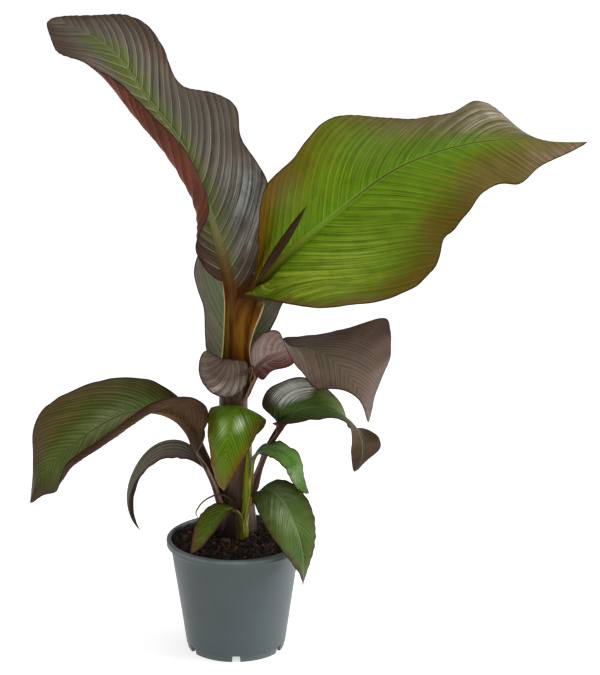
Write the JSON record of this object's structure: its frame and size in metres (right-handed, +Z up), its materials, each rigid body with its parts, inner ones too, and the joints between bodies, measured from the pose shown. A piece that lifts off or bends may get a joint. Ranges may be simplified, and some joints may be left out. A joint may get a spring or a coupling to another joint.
{
  "type": "potted red ornamental banana plant",
  "caption": "Red-leaved ornamental banana plant: broad arching leaves on a sheathed stem with a sprout at its foot, in a round tapered nursery pot filled with soil.",
  "frame": {"origin": "middle of the pot's flat underside, on the floor", "axes": "+Z up along the pot's axis; -Y is the side the picture was taken from; +X is to the right in it, towards the longest leaf"},
  "size_m": [0.7526, 0.3648, 0.8618],
  "materials": {
    "pot": "blue-grey moulded plastic, slightly satin",
    "soil": "dark moist potting soil with bark chips",
    "stem": "overlapping leaf sheaths, olive to red-brown with pale edges",
    "sprout": "young yellow-green leaf stalk",
    "bronze_leaf": "waxy bronze leaf with pale side veins and a red-brown underside",
    "green_leaf": "waxy green leaf with bronze edges and pale side veins",
    "withered_leaf": "dry brown-green withered stalk"
  },
  "bodies": {
    "root": {"pot": "pot", "soil": "soil", "main_stem": "stem", "sprout_stem": "sprout", "leaf_upper_right": "green_leaf", "leaf_upper_left": "bronze_leaf", "leaf_back": "green_leaf", "leaf_side_right": "bronze_leaf", "leaf_collar": "bronze_leaf", "leaf_low_left": "bronze_leaf", "leaf_arching": "bronze_leaf", "leaf_right_glossy": "green_leaf", "leaf_low_right": "green_leaf", "leaf_sprout_front": "green_leaf", "leaf_sprout_right": "green_leaf", "leaf_low_front": "green_leaf", "rolled_leaf": "bronze_leaf", "withered_leaf": "withered_leaf"}
  },
  "joints": []
}
